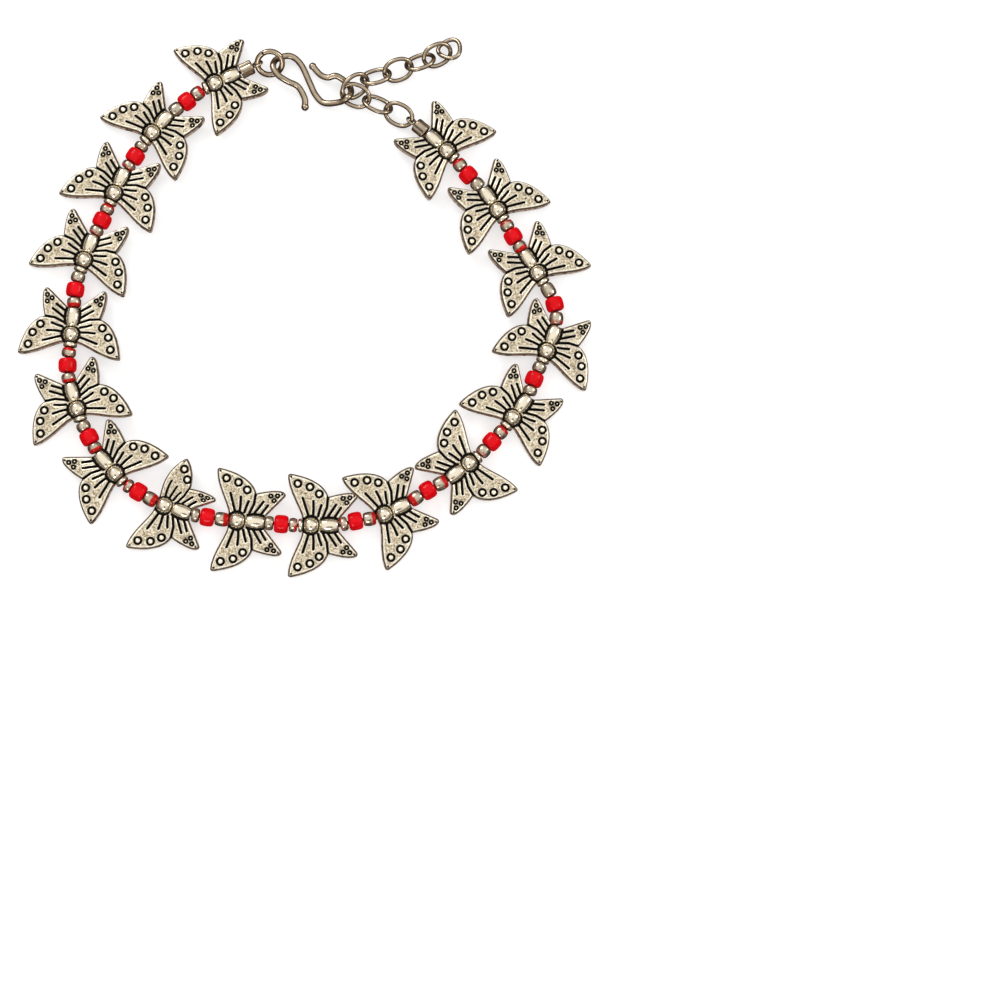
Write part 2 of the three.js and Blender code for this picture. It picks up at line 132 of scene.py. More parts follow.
# Relief of one side's wings, in millimetres from the thorax: vein grooves, rings and the hindwing's dots.
VEINS = [
    [(-0.65, 1.6), (-1.15, 3.2), (-1.7, 4.9)],
    [(0.15, 1.6), (0.25, 3.0), (0.2, 4.35)],
    [(1.05, 1.6), (1.3, 2.6), (1.65, 3.6)],
    [(1.9, 1.4), (2.65, 3.2), (2.85, 5.3)],
    [(2.75, 1.4), (3.5, 2.5), (4.3, 3.7)],
    [(3.95, 1.3), (4.55, 2.2), (5.15, 3.1)],
]
WING_RINGS = [(-2.6, 7.5), (-0.4, 6.9), (1.25, 5.65)]
BENT_WING_RINGS = [(1.07, 7.3), (2.2, 5.7)]
WING_DOTS = [(5.55, 4.85), (6.75, 4.95), (6.2, 4.05)]
TIP_PITS = [(-3.78, 8.75), (7.55, 5.25)]
VEIN_WIDTH = 0.49
RING_RADIUS = 0.62
RING_WIDTH = 0.42
DOT_RADIUS = 0.31
DOT_WIDTH = 0.32
GROOVE_DEPTH = 0.42
EDGE_ROUND = 0.2
RIM_WIDTH = 0.42
WALL_BELLY = 0.2
PANEL_DEPTH = 0.09
RIDGE_HEIGHT = 0.05
DOME_RADIUS = 0.5
DOME_HEIGHT = 0.08
STIPPLE_SCALE = 3.4
STIPPLE_HEIGHT = 0.035
BODY_SINK = 0.5

# Between which distances from its own middle or edge each form of the relief ends.
TIP_PIT_SIDE = (0.12, 0.27)
BODY_GROOVE_SIDE = (0.16, 0.34)
RIDGE_SIDE = (0.3, 0.5)
PANEL_FROM_VEIN = (0.3, 0.52)
PANEL_FROM_RING = (0.85, 1.05)
PANEL_FROM_DOT = (0.4, 0.6)

# The plate's mesh: its grids' spacings and ends, its rings inside the outline and the rows of its wall.
OUTLINE_STEP = 0.16
FINE_SPACING = 0.115
COARSE_SPACING = 0.2
GRID_ENDS = (-5, 9)
RIM_RINGS = (0.05, 0.12, 0.21)
WALL_ROWS = 4

# The clasp: the ring's place, heading and lean, and points along the hook's wire beside that place.
RING_MIDDLE = (-6.8, 45.2, 2.1)
RING_HEADING = 5
RING_LEAN = 40
RING_INNER_DIA = 3.55
RING_WIRE = 1.05
HOOK_WIRE = 1.15
HOOK_BALL = 1.4
HOOK_ROUTE = [
    (-0.3, 37.3, 0.75),
    (-0.4, 39.0, 0.8),
    (-1.6, 41.0, 1.3),
    (-3.5, 41.8, 2.0),
    (-5.2, 42.8, 2.4),
    (-6.2, 44.5, 2.2),
    (-5.5, 46.2, 1.4),
    (-3.1, 46.9, 1.1),
    (-1.1, 45.4, 0.9),
    (0.6, 41.8, 0.7),
    (1.6, 39.7, 0.65),
    (3.2, 38.1, 0.8),
    (6.0, 37.95, 1.9),
    (7.6, 38.6, 2.9),
    (8.2, 40.1, 1.65),
    (7.5, 41.75, 1.15),
    (5.5, 43.0, 1.7),
    (3.9, 42.8, 1.3),
    (2.5, 43.4, 1.1),
    (1.1, 45.0, 1.0),
]

# Chain links: heading and lean of each, and the last, three-cornered one.
LINK_LENGTH = 6.1
LINK_WIDTH = 4.9
LINK_WIRE = 0.8
LINK_TURNS = [(153, -40), (156, 40), (158, -35), (37, 45), (17, -40), (20, 40), (22, -40), (26, 40)]
END_RING_TURN = (32, -22)
END_RING_DIA = 4.9
END_RING_CORNERS = 0.07

# End caps with their loops.
CAP_DIA = 2.8
CAP_LENGTH = 2.5
LOOP_HOLE = 1.35
LOOP_WIRE = 0.45
LEFT_LOOP_LEAN = RING_LEAN - 90
RIGHT_LOOP_LEAN = 50
THREAD_IN_CAP = 1.2

# How red the lacquer patch is on the spacer before each bead and after it, along the string.
SPACER_TINTS = [
    (0.9, 0.3), (0.3, 0.5), (0.8, 0.5), (0.2, 0.9), (0.9, 0.7), (0.3, 0.9), (0.7, 0.9), (0.0, 0.9),
    (0.1, 0.6), (0.5, 0.7), (0.9, 0.9), (0.4, 0.8), (0.2, 0.3), (0.5, 0.2), (0.9, 0.6), (0.2, 0.8),
]


def flat(degrees):
    """The horizontal direction at this angle from +X."""
    return np.array([math.cos(math.radians(degrees)), math.sin(math.radians(degrees)), 0.0])


def unit(vector):
    return vector / np.linalg.norm(vector)


def smoothstep(low, high, value):
    share = np.clip((value - low) / (high - low), 0, 1)
    return share * share * (3 - 2 * share)


def placed(points, middle, along, lean=0.0):
    """Points that are modelled along X, with X turned to along and then leant about it, in degrees."""
    forward = unit(np.asarray(along, dtype=float))
    side = unit(np.cross([0, 0, 1], forward))
    upright = np.cross(forward, side)
    cosine = math.cos(math.radians(lean))
    sine = math.sin(math.radians(lean))
    leant_side = side * cosine + upright * sine
    leant_upright = upright * cosine - side * sine
    return points @ np.array([forward, leant_side, leant_upright]) + np.asarray(middle)


def node_points(name):
    """A CAD node's vertices in millimetres."""
    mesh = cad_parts[name].data
    points = np.empty(len(mesh.vertices) * 3)
    mesh.vertices.foreach_get("co", points)
    return points.reshape(-1, 3) / MM


def node_middle(name):
    low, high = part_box(name)
    return (np.array(low) + np.array(high)) / 2 / MM


class Shell:
    """Vertices, faces and named vertex values of a mesh that is being put together."""

    def __init__(self):
        self.points = []
        self.faces = []
        self.values = {}
        self.count = 0

    def add(self, points, faces, **values):
        points = np.asarray(points, dtype=float)
        self.faces += [tuple(index + self.count for index in face) for face in faces]
        for name in dict.fromkeys([*self.values, *values]):
            held = self.values.setdefault(name, [np.zeros(self.count)] if self.count else [])
            held.append(np.broadcast_to(np.asarray(values.get(name, 0.0), dtype=float), (len(points),)))
        self.points.append(points)
        self.count += len(points)

    def include(self, other, transform):
        values = {name: np.concatenate(parts) for name, parts in other.values.items()}
        self.add(transform(np.concatenate(other.points)), other.faces, **values)


def make_piece(name, shell, material, nodes):
    """A mesh object from a shell, which rides on the part and stands for the CAD nodes."""
    points = np.concatenate(shell.points) * MM
    mesh = bpy.data.meshes.new(name)
    mesh.from_pydata(points.tolist(), [], shell.faces)
    for value_name, parts in shell.values.items():
        attribute = mesh.attributes.new(value_name, "FLOAT", "POINT")
        attribute.data.foreach_set("value", np.concatenate(parts).astype(np.float32))
    mesh.shade_smooth()
    mesh.materials.append(material)
    piece = bpy.data.objects.new(name, mesh)
    bpy.context.scene.collection.objects.link(piece)
    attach(piece, "root")
    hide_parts(*nodes)


def grid_faces(rows, columns, close_rows=False, close_columns=True):
    """Quads between rows of points, each row holding columns points."""
    faces = []
    for row in range(rows if close_rows else rows - 1):
        after = (row + 1) % rows
        for column in range(columns if close_columns else columns - 1):
            beside = (column + 1) % columns
            faces.append((row * columns + column, row * columns + beside, after * columns + beside,
                          after * columns + column))
    return faces


def round_rows(stations, sides, squareness=2.0):
    """Rings of points about X. stations: (x, half width, half height) of each ring."""
    turns = np.linspace(0, 2 * math.pi, sides, endpoint=False)
    cosine = np.cos(turns)
    sine = np.sin(turns)
    across = np.sign(cosine) * np.abs(cosine) ** (2 / squareness)
    upward = np.sign(sine) * np.abs(sine) ** (2 / squareness)
    rings = []
    for x, width, height in stations:
        rings.append(np.column_stack([np.full(sides, x), across * width, upward * height]))
    return np.concatenate(rings)


def turned(stations, sides, squareness=2.0):
    """A closed solid of revolution about X, whose end rings are nearly points."""
    points = round_rows(stations, sides, squareness)
    return points, grid_faces(len(stations), sides)


def tube(route, diameter, sides, closed):
    """A round wire along a route of points, without a twist."""
    route = np.asarray(route, dtype=float)
    count = len(route)
    ahead = np.roll(route, -1, axis=0)
    behind = np.roll(route, 1, axis=0)
    if not closed:
        ahead[-1] = route[-1]
        behind[0] = route[0]
    tangents = ahead - behind
    tangents /= np.linalg.norm(tangents, axis=1)[:, None]
    start = np.cross(tangents[0], [0.3, 0.2, 1.0])
    normals = [unit(start)]
    for tangent in tangents[1:]:
        carried = normals[-1] - tangent * np.dot(normals[-1], tangent)
        normals.append(unit(carried))
    normals = np.array(normals)
    sideways = np.cross(tangents, normals)
    spin = 0.0
    if closed:
        carried = unit(normals[-1] - tangents[0] * np.dot(normals[-1], tangents[0]))
        spin = math.atan2(np.dot(carried, sideways[0]), np.dot(carried, normals[0]))
    turns = np.linspace(0, 2 * math.pi, sides, endpoint=False)
    rings = []
    for index in range(count):
        turned_back = turns - spin * index / count
        ring = np.outer(np.cos(turned_back), normals[index])
        ring += np.outer(np.sin(turned_back), sideways[index])
        rings.append(route[index] + ring * diameter / 2)
    points = np.concatenate(rings)
    faces = grid_faces(count, sides, close_rows=closed)
    if not closed:
        faces.append(tuple(reversed(range(sides))))
        faces.append(tuple(range((count - 1) * sides, count * sides)))
    return points, faces


def smooth_route(points, steps_each):
    """Catmull-Rom points through a given route."""
    points = [np.array(point, dtype=float) for point in points]
    before = 2 * points[0] - points[1]
    after = 2 * points[-1] - points[-2]
    padded = [before, *points, after]
    route = []
    for index in range(1, len(padded) - 2):
        first, second, third, fourth = padded[index - 1:index + 3]
        for step in range(steps_each):
            t = step / steps_each
            route.append(0.5 * (2 * second + (third - first) * t
                                + (2 * first - 5 * second + 4 * third - fourth) * t * t
                                + (3 * second - first - 3 * third + fourth) * t ** 3))
    route.append(points[-1])
    return np.array(route)


# Wings

def bend(points):
    """Points of the plate with the wings at +y bent: forewing drawn in and leant back, hindwing lowered."""
    x, y = points.T
    out = 2 * y / WING_SPAN
    along = x / WING_LENGTH
    fore = 1 - smoothstep(*FORE_TO_HIND, along)
    narrowed = x * (1 - BENT_NARROWING * out * fore)
    lowering = BENT_LOWERING * (along - WING_CURVES[0][2][0])
    bent_points = np.column_stack([narrowed + BENT_LEAN * y * out * fore, y * (1 - lowering)])
    return np.where(y[:, None] > 0, bent_points, points)


def wing_outline(step):
    """One side's wing outline as evenly spaced points, from the collar round to the tail."""
    scale = np.array([WING_LENGTH, WING_SPAN / 2])
    start = np.array(WING_START) * scale
    dense = [start]
    for first, second, end in WING_CURVES:
        corners = [dense[-1], np.array(first) * scale, np.array(second) * scale, np.array(end) * scale]
        for share in np.linspace(0, 1, 61)[1:]:
            rest = 1 - share
            weights = (rest ** 3, 3 * rest ** 2 * share, 3 * rest * share ** 2, share ** 3)
            dense.append(sum(weight * corner for weight, corner in zip(weights, corners)))
    dense = np.array(dense)
    lengths = np.concatenate([[0], np.cumsum(np.linalg.norm(np.diff(dense, axis=0), axis=1))])
    places = np.linspace(0, lengths[-1], max(2, round(lengths[-1] / step)))
    return np.column_stack([np.interp(places, lengths, dense[:, axis]) for axis in (0, 1)])


def soften(outline, passes):
    """Rounds the sharp corners of a closed outline a little."""
    for _ in range(passes):
        outline = 0.5 * outline + 0.25 * (np.roll(outline, 1, axis=0) + np.roll(outline, -1, axis=0))
    return outline


def distance_to_line(points, corners):
    """Distance of each point to a run of straight pieces."""
    nearest = np.full(len(points), np.inf)
    for start, end in zip(corners[:-1], corners[1:]):
        start = np.asarray(start)
        step = np.asarray(end) - start
        share = np.clip((points - start) @ step / (step @ step), 0, 1)
        away = np.linalg.norm(points - start - share[:, None] * step, axis=1)
        nearest = np.minimum(nearest, away)
    return nearest


def distance_to_places(points, places):
    return np.min([np.linalg.norm(points - np.array(place), axis=1) for place in places], axis=0)


def abdomen_half_width(share):
    """Half the abdomen's width at a share of its half length from its middle."""
    return ABDOMEN_HALF_WIDTH - ABDOMEN_TAPER * np.abs(share) ** 2.2


def body_half_width(x):
    """Half the width of the charm's body at x, by its three parts."""
    collar = np.where((x > -HEAD_REACH) & (x < -1.5), COLLAR_SEAT, 0)
    ball_share = (x - THORAX_MIDDLE) / THORAX_HALF_LENGTH
    ball = THORAX_HALF_WIDTH * np.clip(1 - ball_share ** 2, 0, 1) ** (THORAX_FULLNESS / 2)
    barrel_share = (x - ABDOMEN_MIDDLE) / ABDOMEN_HALF_LENGTH
    barrel = np.where(np.abs(barrel_share) < 1, abdomen_half_width(barrel_share), 0)
    return np.maximum(np.maximum(collar, ball), barrel)


def folded(points):
    """Both sides' points on the side at +y, since the relief is mirrored."""
    return np.column_stack([points[:, 0], np.abs(points[:, 1])])


def ring_distance(points, bent):
    """Distance to the nearest ring's middle. Rings on a bent wing are placed where they show."""
    rings = distance_to_places(folded(points), WING_RINGS)
    if bent:
        rings = np.where(points[:, 1] > 0, distance_to_places(bend(points), BENT_WING_RINGS), rings)
    return rings


def groove_share(distance, width, foot=0.62):
    """How deep a groove is at a distance from its middle line, from 0 to 1."""
    return 1 - smoothstep(width * 0.3, width * foot, distance)


def wing_relief(points, edge_distance, bent):
    """(height above the middle plane, dark oxide, stipple, rim for a painted reflection) at points of the
    wing plate.
    """
    half = folded(points)
    veins = np.min([distance_to_line(half, vein) for vein in VEINS], axis=0)
    rings = ring_distance(points, bent)
    dots = distance_to_places(half, WING_DOTS)
    pits = distance_to_places(half, TIP_PITS)
    body = half[:, 1] - body_half_width(half[:, 0])
    vein_groove = groove_share(veins, VEIN_WIDTH)
    ring_groove = groove_share(np.abs(rings - RING_RADIUS), RING_WIDTH)
    dot_groove = groove_share(np.abs(dots - DOT_RADIUS), DOT_WIDTH, foot=0.7)
    pit = 1 - smoothstep(*TIP_PIT_SIDE, pits)
    body_groove = 1 - smoothstep(*BODY_GROOVE_SIDE, body)
    groove = np.max([vein_groove, ring_groove, dot_groove, pit, body_groove], axis=0)
    ridges = 1 - smoothstep(*RIDGE_SIDE, veins)
    from_rim = smoothstep(RIM_WIDTH * 0.7, RIM_WIDTH * 1.2, edge_distance)
    panel = np.min([smoothstep(*PANEL_FROM_VEIN, veins), smoothstep(*PANEL_FROM_RING, rings),
                    smoothstep(*PANEL_FROM_DOT, dots), from_rim], axis=0)
    lumps = np.array([noise.noise(Vector((x * STIPPLE_SCALE, y * STIPPLE_SCALE, 2.0))) for x, y in points])
    height = WING_THICKNESS / 2 - PANEL_DEPTH * panel + STIPPLE_HEIGHT * lumps * panel
    height += RIDGE_HEIGHT * ridges * (1 - vein_groove)
    height += DOME_HEIGHT * np.sqrt(np.clip(1 - (rings / DOME_RADIUS) ** 2, 0, 1))
    height -= GROOVE_DEPTH * groove
    height -= BODY_SINK * smoothstep(0.05, -0.3, body)
    slope = np.clip(1 - edge_distance / EDGE_ROUND, 0, 1)
    height -= EDGE_ROUND * (1 - np.sqrt(1 - slope ** 2)) * 0.9
    # The rim, where the colour paints a brown reflection of the dark room.
    edge = 1 - smoothstep(0.05, 0.25, edge_distance)
    return height, groove, panel, edge


def inward_normals(outline):
    """Unit normals of a closed outline that point into it."""
    steps = np.roll(outline, -1, axis=0) - np.roll(outline, 1, axis=0)
    normals = np.column_stack([steps[:, 1], -steps[:, 0]])
    return normals / np.linalg.norm(normals, axis=1)[:, None]


def grid_points(spacing):
    """A triangular grid that covers the plate."""
    xs = np.arange(*GRID_ENDS, spacing)
    ys = np.arange(-WING_SPAN / 2, WING_SPAN / 2 + spacing, spacing * 0.866)
    rows = []
    for index, y in enumerate(ys):
        shift = (index % 2) * spacing / 2
        rows.append(np.column_stack([xs + shift, np.full(len(xs), y)]))
    return np.concatenate(rows)


def plate_points(outline, inward, bent):
    """The outline first, then rings just inside it, then a grid that is fine near the relief."""
    closed = np.concatenate([outline, outline[:1]])
    rings = [outline + inward * offset for offset in RIM_RINGS]
    rings = [ring[distance_to_line(ring, closed) > 0.03] for ring in rings]
    grids = []
    for spacing, fine in ((FINE_SPACING, True), (COARSE_SPACING, False)):
        points = grid_points(spacing)
        points = points[inside_outline(points, outline)]
        points = points[distance_to_line(points, closed) > 0.3]
        grids.append(points[near_relief(points, bent) == fine])
    return np.concatenate([outline, *rings, *grids])


def triangulated(points, count):
    """A mesh over points whose first count are its boundary. Returns points, faces and the boundary."""
    found, _, faces, origins, _, _ = geometry.delaunay_2d_cdt(
        [Vector(point) for point in points], [], [list(range(count))], 1, 1e-5)
    first_of = {}
    for index, sources in enumerate(origins):
        for source in sources:
            first_of[source] = index
    return np.array([tuple(point) for point in found]), faces, [first_of[index] for index in range(count)]


def add_wall(shell, top, loop, inward):
    """The plate's wall from the top face's rim to the bottom face's. It bellies out a little."""
    count = len(loop)
    levels = [loop]
    for row in range(1, WALL_ROWS):
        share = row / WALL_ROWS
        ring = top[loop]
        ring[:, :2] -= inward * WALL_BELLY * math.sin(math.pi * share)
        ring[:, 2] *= 1 - 2 * share
        levels.append(list(range(shell.count, shell.count + count)))
        shell.add(ring, [], wall=1.0)
    levels.append([index + len(top) for index in loop])
    for upper, lower in zip(levels[:-1], levels[1:]):
        for index in range(count):
            after = (index + 1) % count
            shell.faces.append((upper[index], upper[after], lower[after], lower[index]))


def wing_plate(bent):
    """Both wings of a charm as one plate with its relief on both faces. The wings at +y may be bent."""
    side = wing_outline(OUTLINE_STEP)
    outline = soften(np.concatenate([side, side[::-1] * [1, -1]]), 3)
    inward = inward_normals(outline)
    plan, faces, loop = triangulated(plate_points(outline, inward, bent), len(outline))
    edge_distance = distance_to_line(plan, np.concatenate([outline, outline[:1]]))
    edge_distance[loop] = 0
    height, oxide, stipple, edge = wing_relief(plan, edge_distance, bent)
    if bent:
        plan = bend(plan)
        inward = inward_normals(bend(outline))
    shell = Shell()
    top = np.column_stack([plan, height])
    bottom = np.column_stack([plan, -height])
    values = {"oxide": oxide, "stipple": stipple, "edge": edge}
    shell.add(top, [tuple(face) for face in faces], **values)
    shell.add(bottom, [tuple(reversed(face)) for face in faces], **values)
    add_wall(shell, top, loop, inward)
    return shell


def inside_outline(points, outline):
    """Which points lie inside a closed outline."""
    inside = np.zeros(len(points), dtype=bool)
    for (x1, y1), (x2, y2) in zip(outline, np.roll(outline, -1, axis=0)):
        crosses = (y1 > points[:, 1]) != (y2 > points[:, 1])
        if y1 != y2:
            meets = (x2 - x1) * (points[:, 1] - y1) / (y2 - y1) + x1
            inside ^= crosses & (points[:, 0] < meets)
    return inside


def near_relief(points, bent):
    """Which points lie close enough to the grooves to need a fine mesh."""
    half = folded(points)
    veins = np.min([distance_to_line(half, vein) for vein in VEINS], axis=0)
    rings = ring_distance(points, bent)
    dots = distance_to_places(half, WING_DOTS)
    body = half[:, 1] - body_half_width(half[:, 0])
    return (veins < 0.42) | (rings < 1.0) | (dots < 0.58) | ((body < 0.45) & (body > -0.1))


# Charm body

def add_collar(shell):
    """The collar, bored for the thread, from its mouth to where it runs under the thorax."""
    hole = BEAD_HOLE_DIA / 2
    mouth = -HEAD_REACH
    stations = [(mouth + 0.5, CLOSED_END), (mouth + 0.5, hole), (mouth, hole), (mouth, 0.95),
                (mouth + 0.06, 1.12), (mouth + 0.2, 1.24), (-2.05, 1.26), (-1.85, 1.19), (-1.72, 1.02),
                (-1.6, 0.85), (-1.2, 0.7), (-1.2, CLOSED_END)]
    points, faces = turned([(x, radius, radius) for x, radius in stations], COLLAR_SIDES)
    oxide = np.repeat([1, 1, 1, 0.3, 0, 0, 0, 0.2, 0.8, 1, 1, 1], COLLAR_SIDES)
    shell.add(points, faces, oxide=oxide, body=1.0)


def add_thorax(shell):
    """The thorax, a ball with full shoulders."""
    ball = []
    for turn in np.linspace(0, math.pi, 33):
        x = THORAX_MIDDLE - THORAX_HALF_LENGTH * math.cos(turn)
        swell = max(math.sin(turn), 0) ** THORAX_FULLNESS
        ball.append((x, THORAX_HALF_WIDTH * swell + 0.002, THORAX_DIA / 2 * swell + 0.002))
    points, faces = turned(ball, BODY_SIDES)
    shell.add(points, faces, oxide=0.0, body=1.0)


def add_abdomen(shell):
    """The abdomen, a barrel bored for the thread at its tail end."""
    hole = BEAD_HOLE_DIA / 2
    barrel = []
    for share in np.linspace(-1, 1, 33):
        x = ABDOMEN_MIDDLE + ABDOMEN_HALF_LENGTH * share
        end = np.clip(1 - np.abs(share) ** 14, 0, 1) ** 0.5
        width = abdomen_half_width(share) * (0.8 + 0.2 * end)
        barrel.append((x, width, width * 1.06))
    first = barrel[0][0] - 0.3
    last = barrel[-1][0]
    front = [(first, CLOSED_END, CLOSED_END), (first, 0.7, 0.7)]
    bore = [(last, hole, hole), (last - 0.6, hole, hole), (last - 0.6, CLOSED_END, CLOSED_END)]
    points, faces = turned([*front, *barrel, *bore], BODY_SIDES, 2.2)
    oxide = np.zeros(len(points))
    oxide[:len(front) * BODY_SIDES] = 1
    oxide[-len(bore) * BODY_SIDES:] = 1
    shell.add(points, faces, oxide=oxide, body=1.0)


def charm_shell(plate, collar):
    """A whole charm: its wings, thorax and abdomen, and its collar where that shows."""
    shell = Shell()
    shell.include(plate, lambda points: points)
    if collar:
        add_collar(shell)
    add_thorax(shell)
    add_abdomen(shell)
    return shell


# Materials

POLISHED_SILVER = (0.8, 0.72, 0.57, 1)
# Brown of a painted reflection of the dark room on the charms' rims, also used for random specks.
RIM_REFLECTION_AND_SPECK_BROWN = (0.13, 0.09, 0.06, 1)
OXIDE_BLACK = (0.002, 0.0015, 0.001, 1)
RED_LACQUER = (0.5, 0.008, 0.006, 1)
# Near-black painted shade on the spacers' flat ends and bores, in the gaps to their neighbours.
GAP_SHADE_BLACK = (0.02, 0.015, 0.01, 1)
# Dark of the wire seams and the folded crease, and painted shade in the caps' bores.
DARK_SEAM_AND_BORE_SHADE = (0.03, 0.022, 0.016, 1)


def new_material(name):
    material = bpy.data.materials.new(name)
    material.use_nodes = True
    tree = material.node_tree
    return material, tree, tree.nodes["Principled BSDF"]


def add_node(tree, kind, **settings):
    node = tree.nodes.new(kind)
    for name, value in settings.items():
        setattr(node, name, value)
    return node


def noise_node(tree, scale, detail, roughness=0.5):
    """Noise in the part's own coordinates. scale is in features per millimetre."""
    place = add_node(tree, "ShaderNodeTexCoord")
    node = add_node(tree, "ShaderNodeTexNoise")
    node.inputs["Scale"].default_value = scale / MM
    node.inputs["Detail"].default_value = detail
    node.inputs["Roughness"].default_value = roughness
    tree.links.new(place.outputs["Object"], node.inputs["Vector"])
    return node.outputs["Fac"]


def ramp_node(tree, value, stops):
    """A colour ramp. stops: (position, colour)."""
    node = add_node(tree, "ShaderNodeValToRGB")
    elements = node.color_ramp.elements
    while len(elements) < len(stops):
        elements.new(0.5)
    for element, (position, colour) in zip(elements, stops):
        element.position = position
        element.color = (*colour, 1)
    tree.links.new(value, node.inputs["Fac"])
    return node.outputs["Color"]


def put(tree, socket, value):
    """Links an output to the socket, or sets the socket to a constant."""
    if hasattr(value, "links"):
        tree.links.new(value, socket)
    else:
        socket.default_value = value


def mix_node(tree, share, first, second):
    """Mixes two colours. share, first and second are outputs or constants."""
    node = add_node(tree, "ShaderNodeMix", data_type="RGBA")
    for name, value in (("Factor", share), ("A", first), ("B", second)):
        put(tree, node.inputs[name], value)
    return node.outputs["Result"]


def math_node(tree, operation, *values):
    node = add_node(tree, "ShaderNodeMath", operation=operation)
    for socket, value in zip(node.inputs, values):
        put(tree, socket, value)
    return node.outputs[0]


def range_node(tree, value, from_low, from_high, to_low, to_high):
    node = add_node(tree, "ShaderNodeMapRange")
    tree.links.new(value, node.inputs["Value"])
    limits = (from_low, from_high, to_low, to_high)
    for name, limit in zip(("From Min", "From Max", "To Min", "To Max"), limits):
        node.inputs[name].default_value = limit
    return node.outputs["Result"]


def attribute_node(tree, name):
    return add_node(tree, "ShaderNodeAttribute", attribute_name=name).outputs["Fac"]


def bump_node(tree, height, strength, distance):
    """distance is in millimetres."""
    node = add_node(tree, "ShaderNodeBump")
    node.inputs["Strength"].default_value = strength
    node.inputs["Distance"].default_value = distance * MM
    tree.links.new(height, node.inputs["Height"])
    return node.outputs["Normal"]


def charm_colour(tree, grain, uneven, dark):
    """The charm's colour: champagne silver, pitted panels, coppery walls, painted rim reflection, black
    grooves.
    """
    blotch = noise_node(tree, 0.5, 2)
    tone = ramp_node(tree, blotch, [(0.3, (0.88, 0.8, 0.64)), (0.7, (0.98, 0.93, 0.8))])
    pits = ramp_node(tree, grain, [(0.37, (0.14, 0.1, 0.055)), (0.43, (0.36, 0.28, 0.165)),
                                   (0.49, (0.58, 0.485, 0.33)), (0.64, (0.97, 0.89, 0.72))])
    panel = mix_node(tree, math_node(tree, "MULTIPLY", attribute_node(tree, "stipple"), 0.85), tone, pits)
    patches = noise_node(tree, 1.3, 3)
    wall_tone = ramp_node(tree, patches, [(0.38, (0.07, 0.03, 0.02)), (0.44, (0.58, 0.4, 0.3)),
                                          (0.6, (0.93, 0.75, 0.6))])
    side = mix_node(tree, attribute_node(tree, "wall"), panel, wall_tone)
    polished = mix_node(tree, attribute_node(tree, "body"), side, POLISHED_SILVER)
    # Painted reflection: the rims turn brown as if mirroring the dark room, and noise adds random brown
    # specks.
    rim_reflection_and_specks = math_node(tree, "ADD", attribute_node(tree, "edge"), math_node(tree, "MULTIPLY", uneven, 1.2))
    rim = mix_node(tree, range_node(tree, rim_reflection_and_specks, 0.2, 0.7, 0, 0.85), polished, RIM_REFLECTION_AND_SPECK_BROWN)
    return mix_node(tree, dark, rim, OXIDE_BLACK)


def charm_material():
    """Antiqued silver: pale champagne with pitted panels and black oxide in the grooves."""
    material, tree, shader = new_material("charm_silver")
    stipple = attribute_node(tree, "stipple")
    body = attribute_node(tree, "body")
    wall = attribute_node(tree, "wall")
    grain = noise_node(tree, 3.0, 4, 0.6)
    uneven = math_node(tree, "SUBTRACT", grain, 0.5)
    broken = math_node(tree, "ADD", attribute_node(tree, "oxide"), math_node(tree, "MULTIPLY", uneven, 0.4))
    dark = range_node(tree, broken, 0.25, 0.55, 0, 1)
    tree.links.new(charm_colour(tree, grain, uneven, dark), shader.inputs["Base Color"])
    bare = math_node(tree, "SUBTRACT", 0.95, math_node(tree, "MULTIPLY", wall, 0.45))
    metallic = math_node(tree, "MULTIPLY", bare, range_node(tree, dark, 0, 1, 1, 0))
    tree.links.new(metallic, shader.inputs["Metallic"])
    rough = math_node(tree, "ADD", range_node(tree, stipple, 0, 1, 0.3, 0.4),
                      math_node(tree, "MULTIPLY", grain, 0.12))
    rough = math_node(tree, "SUBTRACT", rough, math_node(tree, "MULTIPLY", body, 0.2))
    rough = math_node(tree, "ADD", rough, math_node(tree, "MULTIPLY", dark, 0.5))
    tree.links.new(rough, shader.inputs["Roughness"])
    shader.inputs["Specular IOR Level"].default_value = 0.12
    height = math_node(tree, "MULTIPLY", grain, math_node(tree, "ADD", stipple, 0.02))
    tree.links.new(bump_node(tree, height, 1.0, 0.3), shader.inputs["Normal"])
    return material


def red_glass_material():
    """Opaque red glass with faint streaks under a glossy skin."""
    material, tree, shader = new_material("red_glass")
    streaks = noise_node(tree, 0.8, 3)
    colour = ramp_node(tree, streaks, [(0.3, (0.6, 0.0, 0.003)), (0.7, (0.78, 0.001, 0.008))])
    tree.links.new(colour, shader.inputs["Base Color"])
    tree.links.new(range_node(tree, streaks, 0, 1, 0.16, 0.26), shader.inputs["Roughness"])
    shader.inputs["Specular IOR Level"].default_value = 0.1
    shader.inputs["Coat Weight"].default_value = 0.08
    shader.inputs["Coat Roughness"].default_value = 0.08
    tree.links.new(bump_node(tree, noise_node(tree, 1.1, 1), 0.25, 0.06), shader.inputs["Normal"])
    return material


